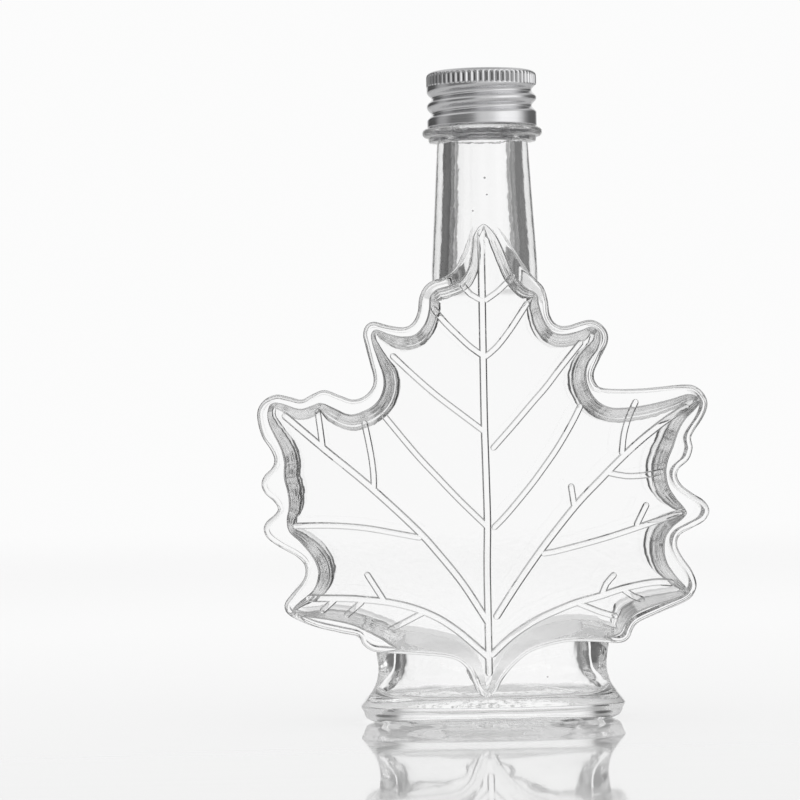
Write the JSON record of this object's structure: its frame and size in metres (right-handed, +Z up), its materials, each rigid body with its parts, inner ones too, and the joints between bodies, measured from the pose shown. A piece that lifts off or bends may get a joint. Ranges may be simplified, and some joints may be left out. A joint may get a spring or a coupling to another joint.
{
  "type": "glass syrup bottle in the outline of a maple leaf",
  "caption": "Empty flat clear-glass bottle shaped as a maple leaf with raised veins, round neck, oval foot and an aluminium screw cap.",
  "frame": {"origin": "on the surface the bottle stands on, midway between the leaf's outermost points and midway through its depth", "axes": "+Z up through the neck, -Y out of the leaf's front face with the raised veins, +X to the right as seen from the front"},
  "size_m": [0.0981, 0.0272, 0.1438],
  "materials": {
    "clear_glass": "clear colourless glass, fire polished and glossy, thick at the toothed sides, slightly wavy inside",
    "aluminium": "satin aluminium, knurled band at the top and a rolled thread below it"
  },
  "bodies": {
    "root": {"bottle": "clear_glass", "cap": "aluminium"}
  },
  "joints": []
}
